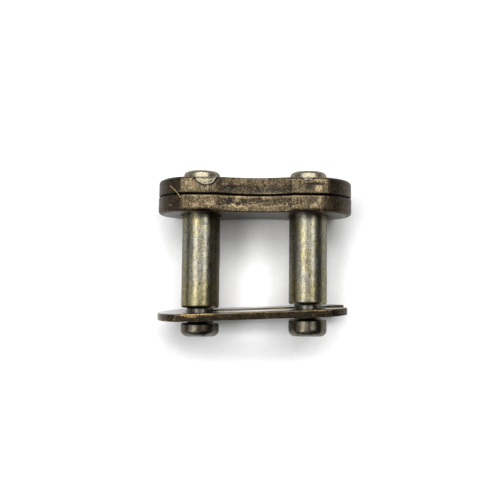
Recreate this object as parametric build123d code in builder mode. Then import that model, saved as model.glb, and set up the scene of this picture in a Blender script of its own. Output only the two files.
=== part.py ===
from build123d import *
import os
from math import hypot, isclose, radians, sqrt, tan

# Spring-clip connecting link for a roller chain of 12.7 mm pitch, lying on the
# flattened edges of its two plates. The riveted pin plate and the loose cover
# plate are at +Y, the free ends of the pins and the spring clip at -Y.
#
# Frame: +X along the pitch, +Y along the pins towards the rivet heads, +Z up.
# Origin: on the surface that the link lies on, midway between the pins and
# midway along the longer pin.

# --- Driving dimensions, mm ---------------------------------------------------

pitch = 12.7                    # distance between the two pin axes
pin_diameter = 4.5

# Plates: two round ends, a drawn-in waist and a flat above and below each hole
plate_height = 9.4
pin_plate_flat = 3.8            # length of each flat, which sets the end radius
cover_plate_flat = 3.96
waist_height = 7.3
pin_plate_thickness = 1.95
cover_plate_thickness = 1.95
die_roll = 0.3                  # rim drawn over by the blanking punch, outward faces
plate_rest_gap = 0.12           # between the two plates as they lie
cover_hole_clearance = 0.05     # radial, the cover plate slides on the pins
cover_hole_lead = 0.2           # countersink at both mouths of its holes

# Pins, each measured from the inner face of the pin plate
left_groove_reach = 13.05
right_groove_reach = 12.5
left_pin_reach = 16.4
right_pin_reach = 16.25
groove_width = 1.75
neck_diameter = 3.1             # at the bottom of the clip groove
groove_edge_break = 0.2
pin_end_round = 0.75

# Rivet heads outside the pin plate
rivet_head_height = 1.2
rivet_base_diameter = 4.4
rivet_rim_diameter = 4.3        # where its side turns in to the flat top
rivet_flat_diameter = 3.3
rivet_rim_drop = 0.26           # from the flat top down to the rim
rivet_flare = 0.25              # pin metal swelled into the countersunk hole

# Spring clip
clip_thickness = 0.9
clip_height = 8.75
clip_end_radius = 5.05
clip_play = 0.33                # from the groove's upper wall to the clip, on the axis
clip_lean = 4.4                 # degrees, its upper leg towards the free pin ends
clip_seat_clearance = 0.1       # radial, round each neck
clip_slot_width = 2.7           # between the two seats
clip_throat_width = 2.4         # behind the seat at the open end
clip_throat_length = 0.6
clip_mouth_width = 4.2          # between the tips
clip_mouth_flare = 1.1          # length over which the throat opens to the mouth
clip_inner_round = 0.25         # corners along the slot
clip_tip_round = 0.5
clip_edge_break = 0.1

# --- Sizes that follow --------------------------------------------------------

half_pitch = pitch / 2
pin_radius = pin_diameter / 2
neck_radius = neck_diameter / 2
half_plate_height = plate_height / 2
axis_height = half_plate_height     # the plates lie on their flats
waist_depth = half_plate_height - waist_height / 2

# Stations along the pins
head_to_seat = pin_plate_thickness + rivet_head_height
y_rivet_top = (head_to_seat + max(left_pin_reach, right_pin_reach)) / 2
y_pin_plate = y_rivet_top - rivet_head_height
y_seat = y_pin_plate - pin_plate_thickness
y_cover_plate = y_seat - plate_rest_gap

# The grooves lie at slightly different depths, and the clip lies across both.
groove_offset = left_groove_reach - right_groove_reach
y_clip = y_seat - (left_groove_reach + right_groove_reach) / 2 - clip_play
clip_plane = Plane(
    origin=(0, y_clip, axis_height),
    x_dir=(1, groove_offset / pitch, 0),
    z_dir=(groove_offset / pitch, -1, -tan(radians(clip_lean))),
)
clip_seat_x = hypot(pitch, groove_offset) / 2
clip_seat_radius = neck_radius + clip_seat_clearance
throat_start = clip_seat_x + sqrt(clip_seat_radius**2 - (clip_throat_width / 2) ** 2)
throat_end = throat_start + clip_throat_length
mouth_start = throat_end + clip_mouth_flare
clip_reach = clip_seat_x + clip_end_radius

os.makedirs("parts", exist_ok=True)


def across_pins(y):
    """Plane across the pins at y, its normal towards their free ends."""
    return Plane(origin=(0, y, axis_height), x_dir=(1, 0, 0), z_dir=(0, -1, 0))


def draw_plate(flat, hole_radius):
    """Draw a plate blank, with its two holes, in the open sketch."""
    end_radius = hypot(flat, plate_height) / 2
    # Each waist arc runs from the end of one flat to the next, through the waist.
    half_chord = (pitch - flat) / 2
    waist_radius = (half_chord**2 + waist_depth**2) / (2 * waist_depth)
    waist_centre = waist_height / 2 + waist_radius
    with GridLocations(pitch, 0, 2, 1):
        Circle(end_radius)
    Rectangle(pitch, 2 * end_radius)
    with Locations((0, waist_centre), (0, -waist_centre)):
        Circle(waist_radius, mode=Mode.SUBTRACT)
    Rectangle(pitch + 2 * end_radius, plate_height, mode=Mode.INTERSECT)
    with GridLocations(pitch, 0, 2, 1):
        Circle(hole_radius, mode=Mode.SUBTRACT)


def corner_at(sketch, x, y):
    """The corner of the sketch at (x, y)."""
    return sketch.vertices().sort_by_distance((x, y, 0))[0]


def corners_at_height(sketch, height):
    """The corners of the sketch at this distance from its centre line."""
    return sketch.vertices().filter_by(lambda corner: isclose(abs(corner.Y), height, abs_tol=1e-6))


# --- Pin plate: pressed on both pins and held by their rivet heads ------------

with BuildPart() as pin_plate:
    with BuildSketch(across_pins(y_pin_plate)):
        draw_plate(pin_plate_flat, pin_radius)
    extrude(amount=pin_plate_thickness)
    outward_face = pin_plate.faces().sort_by(Axis.Y)[-1]
    rivet_mouths = outward_face.inner_wires().edges()
    fillet(outward_face.outer_wire().edges(), die_roll)
    chamfer(rivet_mouths, rivet_flare)

pin_plate.part.label = "pin_plate"
export_step(pin_plate.part, "parts/pin_plate.step")

# --- Cover plate: the same blank, its holes a slip fit on the pins ------------

with BuildPart() as cover_plate:
    with BuildSketch(across_pins(y_cover_plate)):
        draw_plate(cover_plate_flat, pin_radius + cover_hole_clearance)
    extrude(amount=cover_plate_thickness)
    outward_face = cover_plate.faces().sort_by(Axis.Y)[0]
    mating_face = cover_plate.faces().sort_by(Axis.Y)[-1]
    hole_mouths = outward_face.inner_wires().edges() + mating_face.inner_wires().edges()
    fillet(outward_face.outer_wire().edges(), die_roll)
    chamfer(hole_mouths, cover_hole_lead)

cover_plate.part.label = "cover_plate"
export_step(cover_plate.part, "parts/cover_plate.step")

# --- Pins: turned with a clip groove, headed over the pin plate ---------------

pins = {
    "left_pin": (-half_pitch, left_groove_reach, left_pin_reach),
    "right_pin": (half_pitch, right_groove_reach, right_pin_reach),
}

for pin_name, (pin_x, groove_reach, pin_reach) in pins.items():
    groove_end = groove_reach + groove_width
    pin_origin = (pin_x, y_seat, axis_height)
    with BuildPart() as pin:
        with BuildSketch(Plane(origin=pin_origin)) as half_section:
            with BuildLine():
                Polyline(
                    (0, head_to_seat),
                    (rivet_flat_diameter / 2, head_to_seat),
                    (rivet_rim_diameter / 2, head_to_seat - rivet_rim_drop),
                    (rivet_base_diameter / 2, pin_plate_thickness),
                    (pin_radius + rivet_flare, pin_plate_thickness),
                    (pin_radius, pin_plate_thickness - rivet_flare),
                    (pin_radius, -groove_reach),
                    (neck_radius, -groove_reach),
                    (neck_radius, -groove_end),
                    (pin_radius, -groove_end),
                    (pin_radius, -pin_reach),
                    (0, -pin_reach),
                    close=True,
                )
            make_face()
            fillet(corner_at(half_section, pin_radius, -pin_reach), pin_end_round)
            chamfer(corner_at(half_section, pin_radius, -groove_reach), groove_edge_break)
            chamfer(corner_at(half_section, pin_radius, -groove_end), groove_edge_break)
        revolve(axis=Axis(pin_origin, (0, 1, 0)))
    pin.part.label = pin_name
    export_step(pin.part, f"parts/{pin_name}.step")

# --- Spring clip: closed round end at the left, two legs open at the right ----

with BuildPart() as spring_clip:
    with BuildSketch(clip_plane) as clip_blank:
        with Locations((-clip_seat_x, 0), (clip_seat_x, 0)):
            Circle(clip_end_radius)
        Rectangle(2 * clip_seat_x, 2 * clip_end_radius)
        Rectangle(2 * clip_reach, clip_height, mode=Mode.INTERSECT)
        with Locations((-clip_seat_x, 0), (clip_seat_x, 0)):
            Circle(clip_seat_radius, mode=Mode.SUBTRACT)
        Rectangle(2 * clip_seat_x, clip_slot_width, mode=Mode.SUBTRACT)
        with BuildLine():
            Polyline(
                (clip_seat_x, clip_throat_width / 2),
                (throat_end, clip_throat_width / 2),
                (mouth_start, clip_mouth_width / 2),
                (clip_reach, clip_mouth_width / 2),
                (clip_reach, -clip_mouth_width / 2),
                (mouth_start, -clip_mouth_width / 2),
                (throat_end, -clip_throat_width / 2),
                (clip_seat_x, -clip_throat_width / 2),
                close=True,
            )
        make_face(mode=Mode.SUBTRACT)
        fillet(clip_blank.vertices().group_by(Axis.X)[-1], clip_tip_round)
        fillet(corners_at_height(clip_blank, clip_slot_width / 2), clip_inner_round)
        fillet(corners_at_height(clip_blank, clip_throat_width / 2), clip_inner_round)
    extrude(amount=clip_thickness)
    broad_faces = spring_clip.faces().sort_by(SortBy.AREA)[-2:]
    chamfer(broad_faces.edges(), clip_edge_break)

spring_clip.part.label = "spring_clip"
export_step(spring_clip.part, "parts/spring_clip.step")
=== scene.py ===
import logging
import math
from dataclasses import dataclass, field
from enum import Enum
from typing import Callable, Iterable, Sequence

import bmesh
import bpy
import numpy as np
from mathutils import Matrix, Vector
from mathutils.geometry import delaunay_2d_cdt


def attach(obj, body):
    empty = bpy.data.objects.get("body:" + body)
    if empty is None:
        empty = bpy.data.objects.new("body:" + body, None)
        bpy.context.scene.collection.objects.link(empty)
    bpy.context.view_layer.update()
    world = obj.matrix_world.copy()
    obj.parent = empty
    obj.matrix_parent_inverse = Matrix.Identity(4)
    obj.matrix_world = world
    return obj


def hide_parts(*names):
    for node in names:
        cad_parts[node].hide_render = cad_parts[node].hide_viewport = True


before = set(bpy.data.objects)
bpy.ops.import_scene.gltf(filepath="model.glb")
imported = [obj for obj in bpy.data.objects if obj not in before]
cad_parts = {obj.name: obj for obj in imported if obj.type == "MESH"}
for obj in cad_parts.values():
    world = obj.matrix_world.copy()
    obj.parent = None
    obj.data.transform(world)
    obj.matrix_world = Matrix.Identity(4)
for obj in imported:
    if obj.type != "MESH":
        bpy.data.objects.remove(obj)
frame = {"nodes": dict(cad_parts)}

log = logging.getLogger("connecting_link")

Array = np.ndarray
Material = bpy.types.Material
Mesh = bpy.types.Mesh
Object = bpy.types.Object
Socket = bpy.types.NodeSocket
Tree = bpy.types.NodeTree
Colour = Place = tuple[float, float, float]
Point = tuple[float, float]
Value = float | int | bool | str | tuple | Socket | Material

MM = 0.001
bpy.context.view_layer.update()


# --- Named choices -------------------------------------------------------------


class Body(Enum):
    """The bodies that pieces ride on."""

    LINK = "link"
    COVER = "cover"


class Slot(Enum):
    """The record's material slots."""

    PLATE = "plate_steel"
    PIN = "pin_steel"
    CLIP = "clip_steel"


class Side(Enum):
    """Which of the two pins a size belongs to."""

    LEFT = -1
    RIGHT = 1


# --- Node trees ----------------------------------------------------------------


class Pen:
    """Writes nodes into a tree."""

    def __init__(self, tree: Tree, family: str) -> None:
        """Takes up a tree.

        Args:
            tree: The tree to write in.
            family: "ShaderNode" or "GeometryNode".
        """
        self.tree = tree
        self.family = family

    def plug(self, socket: Socket, value: Value) -> None:
        """Links a socket to another, or sets its value."""
        if isinstance(value, Socket):
            self.tree.links.new(value, socket)
        elif socket.type == "RGBA" and len(value) == 3:
            socket.default_value = (*value, 1.0)
        else:
            socket.default_value = value

    def node(
        self, kind: str, inputs: dict[str | int, Value] | None = None, **settings: Value
    ) -> bpy.types.Node:
        """Adds one node.

        Args:
            kind: The node's type, without the family's prefix when it has one.
            inputs: What goes into its sockets, by name or by index.
            **settings: The node's own properties.

        Returns:
            The new node.
        """
        name = kind if kind.startswith(("Shader", "Geometry", "Function", "Node")) else self.family + kind
        made = self.tree.nodes.new(name)
        for key, value in settings.items():
            setattr(made, key, value)
        for key, value in (inputs or {}).items():
            self.plug(made.inputs[key], value)
        return made

    def math(self, operation: str, a: Value, b: Value = 0.0, c: Value = 0.0, clamp: bool = False) -> Socket:
        """A Math node's result."""
        made = self.node("ShaderNodeMath", {0: a, 1: b, 2: c}, operation=operation, use_clamp=clamp)
        return made.outputs[0]

    def times(self, a: Value, b: Value) -> Socket:
        """A product."""
        return self.math("MULTIPLY", a, b)

    def span(
        self, value: Value, low: float, high: float, to_low: float = 0.0, to_high: float = 1.0
    ) -> Socket:
        """Maps low..high to to_low..to_high, smoothly and clamped."""
        made = self.node(
            "ShaderNodeMapRange",
            {0: value, 1: low, 2: high, 3: to_low, 4: to_high},
            interpolation_type="SMOOTHSTEP",
        )
        return made.outputs[0]

    def noise(
        self, at: Value, size: float, seed: float, detail: float = 3.0, rough: float = 0.55, bend: float = 0.0
    ) -> Socket:
        """Fractal noise from 0 to 1.

        Args:
            at: The coordinates, in metres.
            size: The noise's grain, in mm.
            seed: The fourth coordinate, which picks the pattern.
            detail: Octaves.
            rough: How strong the finer octaves are.
            bend: Distortion.

        Returns:
            The noise's value.
        """
        inputs = {"Vector": at, "W": seed, "Scale": 1 / (size * MM)}
        inputs |= {"Detail": detail, "Roughness": rough, "Distortion": bend}
        return self.node("ShaderNodeTexNoise", inputs, noise_dimensions="4D").outputs[0]

    def mix(self, share: Value, a: Value, b: Value, blend: str = "MIX") -> Socket:
        """Two colours mixed."""
        # The node has a set of sockets for each data type: 6 and 7 take colours, and 2 gives one.
        made = self.node("ShaderNodeMix", data_type="RGBA", blend_type=blend, clamp_factor=True)
        self.plug(made.inputs[0], share)
        self.plug(made.inputs[6], a)
        self.plug(made.inputs[7], b)
        return made.outputs[2]

    def layered(self, colour: Value, *layers: tuple[Value, Value]) -> Socket:
        """Lays colours over one another.

        Args:
            colour: The lowest.
            *layers: How far each one covers, and its colour, from the lowest up.

        Returns:
            The colour that shows.
        """
        for cover, over in layers:
            colour = self.mix(cover, colour, over)
        return colour

    def blend(self, *parts: tuple[Value, float], plus: float = 0.0) -> Value:
        """A weighted sum.

        Args:
            *parts: Values and their weights.
            plus: What is added to the sum.

        Returns:
            The sum.
        """
        total = plus
        for value, weight in parts:
            total = self.math("MULTIPLY_ADD", value, weight, total)
        return total

    def grey(self, value: Value) -> Socket:
        """A grey colour of a given brightness."""
        return self.node("ShaderNodeCombineColor", {0: value, 1: value, 2: value}).outputs[0]

    def attribute(self, name: str) -> Socket:
        """A number stored at the mesh's vertices, 0 where there is none."""
        return self.node("Attribute", attribute_name=name).outputs["Fac"]

    def axes(self, vector: Socket) -> tuple[Socket, ...]:
        """The X, Y and Z of a vector."""
        return tuple(self.node("ShaderNodeSeparateXYZ", {0: vector}).outputs)

    def stretched(self, vector: Socket, scale: Place) -> Socket:
        """A vector with its axes scaled, which draws a pattern out."""
        return self.node("ShaderNodeVectorMath", {0: vector, 1: scale}, operation="MULTIPLY").outputs[0]


# --- Geometry Nodes ------------------------------------------------------------

# Vertices nearer to one another than this, in mm, are joined.
SEAM = 0.0005
FIBRE_SIDES = 6


def tree_inputs(tree: Tree, inputs: dict[str, str]) -> None:
    """Gives a tree its geometry sockets and its named inputs.

    Args:
        tree: A new Geometry Nodes tree.
        inputs: Socket type by name.
    """
    tree.interface.new_socket("Geometry", in_out="OUTPUT", socket_type="NodeSocketGeometry")
    tree.interface.new_socket("Geometry", in_out="INPUT", socket_type="NodeSocketGeometry")
    for name, kind in inputs.items():
        tree.interface.new_socket(name, in_out="INPUT", socket_type=kind)


def finish_tree(pen: Pen, geometry: Socket, material: Socket) -> None:
    """Ends a tree in Realize Instances and Set Material."""
    real = pen.node("RealizeInstances", {0: geometry})
    dressed = pen.node("SetMaterial", {"Geometry": real.outputs[0], "Material": material})
    pen.node("NodeGroupOutput", {0: dressed.outputs[0]})


def turning_tree() -> Tree:
    """The tree that turns a half profile, drawn as radius and station, round an axis along Y."""
    tree = bpy.data.node_groups.new("turned piece", "GeometryNodeTree")
    tree_inputs(
        tree,
        {
            "Axis X": "NodeSocketFloat",
            "Axis Z": "NodeSocketFloat",
            "Rows": "NodeSocketInt",
            "Segments": "NodeSocketInt",
            "Material": "NodeSocketMaterial",
        },
    )
    pen = Pen(tree, "GeometryNode")
    given = pen.node("NodeGroupInput").outputs
    profile = pen.node("MeshToCurve", {0: given["Geometry"]}).outputs[0]
    columns = pen.node("FunctionNodeIntegerMath", {0: given["Segments"], 1: 1}, operation="ADD").outputs[0]
    sheet = pen.node("MeshGrid", {0: 1.0, 1: 1.0, 2: given["Rows"], 3: columns}).outputs[0]
    u, v, _ = pen.axes(pen.node("InputPosition").outputs[0])
    along = pen.math("ADD", u, 0.5, clamp=True)
    turn = pen.times(pen.math("ADD", v, 0.5), 2 * math.pi)
    at = {"Curves": profile, "Factor": along}
    sample = pen.node("SampleCurve", at, mode="FACTOR", use_all_curves=False)
    radius, station, _ = pen.axes(sample.outputs["Position"])
    place = pen.node(
        "ShaderNodeCombineXYZ",
        {
            0: pen.math("MULTIPLY_ADD", radius, pen.math("SINE", turn), given["Axis X"]),
            1: station,
            2: pen.math("MULTIPLY_ADD", radius, pen.math("COSINE", turn), given["Axis Z"]),
        },
    )
    turned = pen.node("SetPosition", {"Geometry": sheet, "Position": place.outputs[0]})
    closed = pen.node("MergeByDistance", {"Geometry": turned.outputs[0], "Distance": SEAM * MM})
    finish_tree(pen, closed.outputs[0], given["Material"])
    return tree


def weathering_tree() -> Tree:
    """The tree that sinks hollows and pits into a surface, always inwards, and none where "calm" is 1."""
    tree = bpy.data.node_groups.new("weathered surface", "GeometryNodeTree")
    floats = (
        "Hollow Size", "Hollow Depth", "Grain Size", "Grain Depth",
        "Pit Size", "Pit Depth", "Pit Cover", "Seed",
    )
    tree_inputs(tree, {name: "NodeSocketFloat" for name in floats} | {"Material": "NodeSocketMaterial"})
    pen = Pen(tree, "GeometryNode")
    given = pen.node("NodeGroupInput").outputs
    place = pen.node("InputPosition").outputs[0]

    def noise(size: Socket, shift: float, detail: float) -> Socket:
        """Noise of a given grain, its seed shifted."""
        made = pen.node(
            "ShaderNodeTexNoise",
            {
                "Vector": place,
                "W": pen.math("ADD", given["Seed"], shift),
                "Scale": pen.math("DIVIDE", 1.0, size),
                "Detail": detail,
            },
            noise_dimensions="4D",
        )
        return made.outputs[0]

    hollow = pen.times(pen.span(noise(given["Hollow Size"], 0.0, 2.0), 0.35, 0.7), given["Hollow Depth"])
    grain = pen.times(pen.span(noise(given["Grain Size"], 7.0, 3.0), 0.3, 0.7), given["Grain Depth"])
    limit = pen.math("SUBTRACT", 1.0, given["Pit Cover"])
    over = pen.math("SUBTRACT", noise(given["Pit Size"], 13.0, 2.0), limit)
    pit = pen.times(pen.span(over, 0.0, 0.09), given["Pit Depth"])
    calm = pen.node("InputNamedAttribute", {"Name": "calm"}, data_type="FLOAT").outputs[0]
    sunk = pen.math("ADD", pen.math("ADD", hollow, grain), pit)
    depth = pen.times(sunk, pen.math("SUBTRACT", 1.0, calm))
    inward = pen.node(
        "ShaderNodeVectorMath",
        {0: pen.node("InputNormal").outputs[0], "Scale": pen.times(depth, -1.0)},
        operation="SCALE",
    )
    worn = pen.node("SetPosition", {"Geometry": given["Geometry"], "Offset": inward.outputs[0]})
    smooth = pen.node("SetShadeSmooth", {"Geometry": worn.outputs[0], "Shade Smooth": True})
    finish_tree(pen, smooth.outputs[0], given["Material"])
    return tree


def fibre_tree() -> Tree:
    """The tree that lays a thin round fibre along a line."""
    tree = bpy.data.node_groups.new("fibre", "GeometryNodeTree")
    floats = {name: "NodeSocketFloat" for name in ("Radius", "Step")}
    tree_inputs(tree, floats | {"Material": "NodeSocketMaterial"})
    pen = Pen(tree, "GeometryNode")
    given = pen.node("NodeGroupInput").outputs
    line = pen.node("MeshToCurve", {0: given["Geometry"]}).outputs[0]
    even = pen.node("ResampleCurve", {"Curve": line, "Length": given["Step"]}, mode="LENGTH")
    ring = pen.node("CurvePrimitiveCircle", {"Resolution": FIBRE_SIDES, "Radius": given["Radius"]})
    parts = {"Curve": even.outputs[0], "Profile Curve": ring.outputs[0], "Fill Caps": True}
    tube = pen.node("CurveToMesh", parts)
    finish_tree(pen, tube.outputs[0], given["Material"])
    return tree


def run_tree(piece: Object, tree: Tree, inputs: dict[str, Value]) -> None:
    """Runs a tree on a piece and keeps its result as the piece's plain mesh.

    Args:
        piece: The object whose mesh goes in and is replaced.
        tree: The tree.
        inputs: Its inputs by name.
    """
    modifier = piece.modifiers.new(tree.name, "NODES")
    modifier.node_group = tree
    named = {
        item.name: item.identifier
        for item in tree.interface.items_tree
        if item.item_type == "SOCKET" and item.in_out == "INPUT"
    }
    for name, value in inputs.items():
        modifier[named[name]] = value
    piece.update_tag()
    graph = bpy.context.evaluated_depsgraph_get()
    result = piece.evaluated_get(graph)
    baked = bpy.data.meshes.new_from_object(result, preserve_all_data_layers=True, depsgraph=graph)
    piece.modifiers.remove(modifier)
    raw = piece.data
    piece.data = baked
    baked.name = piece.name
    bpy.data.meshes.remove(raw)


# --- Meshes --------------------------------------------------------------------


def new_piece(name: str, data: bpy.types.ID) -> Object:
    """Links a new object at the origin, round a mesh, a light or a camera."""
    piece = bpy.data.objects.new(name, data)
    bpy.context.scene.collection.objects.link(piece)
    return piece


def mesh_of(name: str, points: Array, faces: Iterable[Sequence[int]]) -> Mesh:
    """A closed mesh with its faces turned outwards.

    Args:
        name: The mesh's name.
        points: Places in mm, N by 3.
        faces: Vertex numbers of each face.

    Returns:
        The mesh, in metres.
    """
    mesh = bpy.data.meshes.new(name)
    mesh.from_pydata((points * MM).tolist(), [], [tuple(f) for f in faces])
    turn_outwards(mesh)
    return mesh


def line_mesh(name: str, points: Array) -> Mesh:
    """An open line through places in mm, as a mesh of edges in metres."""
    mesh = bpy.data.meshes.new(name)
    mesh.from_pydata((points * MM).tolist(), [(i, i + 1) for i in range(len(points) - 1)], [])
    return mesh


def turn_outwards(mesh: Mesh) -> None:
    """Turns all faces outwards and shades them smooth."""
    work = bmesh.new()
    work.from_mesh(mesh)
    bmesh.ops.recalc_face_normals(work, faces=work.faces)
    for face in work.faces:
        face.smooth = True
    work.to_mesh(mesh)
    work.free()


def give_attributes(mesh: Mesh, **values: Array) -> None:
    """Stores one number at each vertex under each name."""
    for name, numbers in values.items():
        layer = mesh.attributes.new(name, "FLOAT", "POINT")
        layer.data.foreach_set("value", np.asarray(numbers, np.float32))


def places_of(mesh: Mesh) -> Array:
    """The vertices' places in mm, N by 3."""
    flat = np.empty(len(mesh.vertices) * 3, np.float32)
    mesh.vertices.foreach_get("co", flat)
    return flat.reshape(-1, 3).astype(float) / MM


def bump_of(value: Array, low: float, high: float) -> Array:
    """Smoothly 0 below low and 1 above high."""
    share = np.clip((value - low) / (high - low), 0, 1)
    return share * share * (3 - 2 * share)


def ridge(value: Array, width: float) -> Array:
    """1 where the value is 0, falling off smoothly on both sides."""
    return np.exp(-((value / width) ** 2))


def add_to(piece: Object, extra: Object) -> None:
    """Moves one object's mesh and material into another and removes it."""
    slot = len(piece.data.materials)
    piece.data.materials.append(extra.data.materials[0])
    for face in extra.data.polygons:
        face.material_index = slot
    work = bmesh.new()
    work.from_mesh(piece.data)
    work.from_mesh(extra.data)
    work.to_mesh(piece.data)
    work.free()
    bpy.data.meshes.remove(extra.data)


# --- Outlines ------------------------------------------------------------------

LINE_SAMPLES, ARC_SAMPLES, EASE_SAMPLES = 41, 241, 17
TINY = 1e-9
# The part of a full turn, in radians, that a hole's outline leaves open.
OPEN_TURN = 1e-6


def travelled(line: Array) -> Array:
    """How far along a line each of its points lies."""
    return np.r_[0, np.cumsum(np.hypot(*np.diff(line, axis=0).T))]


def places_at(line: Array, distances: Array) -> Array:
    """The places at given distances along a line."""
    length = travelled(line)
    return np.stack([np.interp(distances, length, line[:, axis]) for axis in (0, 1)], 1)


@dataclass
class Outline:
    """A line in a plane, drawn in pieces whose corners are eased. A closed one runs counterclockwise."""

    closed: bool = True
    pieces: list[Array] = field(default_factory=list)
    eases: list[float] = field(default_factory=list)

    def line(self, start: Point, end: Point, ease: float = 0.0) -> "Outline":
        """Adds a straight piece; ease rounds the corner after it."""
        share = np.linspace(0, 1, LINE_SAMPLES)[:, None]
        self.pieces.append(np.array(start) * (1 - share) + np.array(end) * share)
        self.eases.append(ease)
        return self

    def arc(self, centre: Point, radius: float, start: float, end: float, ease: float = 0.0) -> "Outline":
        """Adds an arc between two angles in radians; ease rounds the corner after it."""
        angle = np.linspace(start, end, ARC_SAMPLES)
        x, y = centre[0] + radius * np.cos(angle), centre[1] + radius * np.sin(angle)
        self.pieces.append(np.stack([x, y], 1))
        self.eases.append(ease)
        return self

    @staticmethod
    def _cut(piece: Array, before: float, after: float) -> Array:
        """A piece without its first and last stretch."""
        return places_at(piece, np.linspace(before, travelled(piece)[-1] - after, len(piece)))

    def drawn(self) -> Array:
        """The whole line with its corners eased, closely sampled."""
        count = len(self.pieces)
        joints = count if self.closed else count - 1
        eases = [e if i < joints else 0.0 for i, e in enumerate(self.eases)]
        before = [eases[i - 1] if (self.closed or i) else 0.0 for i in range(count)]
        kept = [self._cut(*each) for each in zip(self.pieces, before, eases)]
        line = []
        for i, piece in enumerate(kept):
            line.append(piece)
            if i < joints and eases[i] > 0:
                a, b, c = piece[-1], self.pieces[i][-1], kept[(i + 1) % count][0]
                t = np.linspace(0, 1, EASE_SAMPLES)[1:-1, None]
                line.append(a * (1 - t) ** 2 + 2 * b * t * (1 - t) + c * t**2)
        joined = np.concatenate(line)
        gap = np.hypot(*np.diff(joined, axis=0).T)
        return joined[np.r_[True, gap > TINY]]

    def sampled(self, step: float) -> tuple[Array, Array]:
        """A closed line at even steps.

        Args:
            step: Distance between points, in mm.

        Returns:
            The points and the unit normals on the line's right, which is outwards.
        """
        line = self.drawn()
        line = np.concatenate([line, line[:1]])
        whole = travelled(line)[-1]
        count = max(8, round(whole / step))
        points = places_at(line, np.linspace(0, whole, count + 1))[:-1]
        along = np.roll(points, -1, 0) - np.roll(points, 1, 0)
        along /= np.hypot(*along.T)[:, None]
        return points, np.stack([along[:, 1], -along[:, 0]], 1)


def hole(centre: Point, radius: float) -> Outline:
    """A round hole, which runs clockwise."""
    return Outline().arc(centre, radius, math.pi, -math.pi + OPEN_TURN)


def inside(points: Array, loop: Array) -> Array:
    """Which points lie inside a closed loop."""
    result = np.zeros(len(points), bool)
    x, y = points[:, 0], points[:, 1]
    for (x0, y0), (x1, y1) in zip(loop, np.roll(loop, -1, 0)):
        if y0 == y1:
            continue
        crosses = ((y0 > y) != (y1 > y)) & (x < (x1 - x0) * (y - y0) / (y1 - y0) + x0)
        result ^= crosses
    return result


def nearest(points: Array, line: Array, batch: int = 2000) -> Array:
    """Distance from each point to the nearest point of a line, worked out batch by batch."""
    result = np.empty(len(points))
    for start in range(0, len(points), batch):
        part = points[start : start + batch]
        gap = part[:, None, :] - line[None, :, :]
        result[start : start + batch] = np.sqrt((gap**2).sum(2).min(1))
    return result


Rim = list[Point]
# Length of a quarter circle for each mm of its radius, rounded up.
QUARTER_ARC = 1.6


def rounded_rim(radius: float, steps: int, far: bool, thickness: float) -> Rim:
    """The rounding of one rim.

    Args:
        radius: The rounding's radius.
        steps: Points in it after the first.
        far: Whether it's the rim at the full thickness.
        thickness: The piece's thickness.

    Returns:
        Inset and depth of each row, from the near face to the far one.
    """
    angles = np.linspace(0, math.pi / 2, steps + 1)
    rows = [(radius * (1 - math.sin(a)), radius * (1 - math.cos(a))) for a in angles]
    return [(inset, thickness - depth) for inset, depth in reversed(rows)] if far else rows


def wall_rows(near: float, far: float, thickness: float, step: float) -> Rim:
    """All rows of a wall with rounded rims, inset and depth of each."""
    start = rounded_rim(near, max(2, round(near * QUARTER_ARC / step)), False, thickness)
    end = rounded_rim(far, max(2, round(far * QUARTER_ARC / step)), True, thickness)
    count = max(2, round((thickness - near - far) / step))
    middle = [(0.0, near + (thickness - near - far) * i / count) for i in range(1, count)]
    return start + middle + end


# The points that fill a face, all in steps of its grid: the gap between rows, how far a point strays
# from its place, and how far it stays from the edge.
ROW_RATIO, JITTER, CLEAR_OF_EDGE = 0.87, 0.18, 0.6
# Distance in mm added where a rim belongs to the other face, so that its marks stay off this one.
OTHER_SIDE = 9
MERGE_LIMIT = 1e-7


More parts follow.
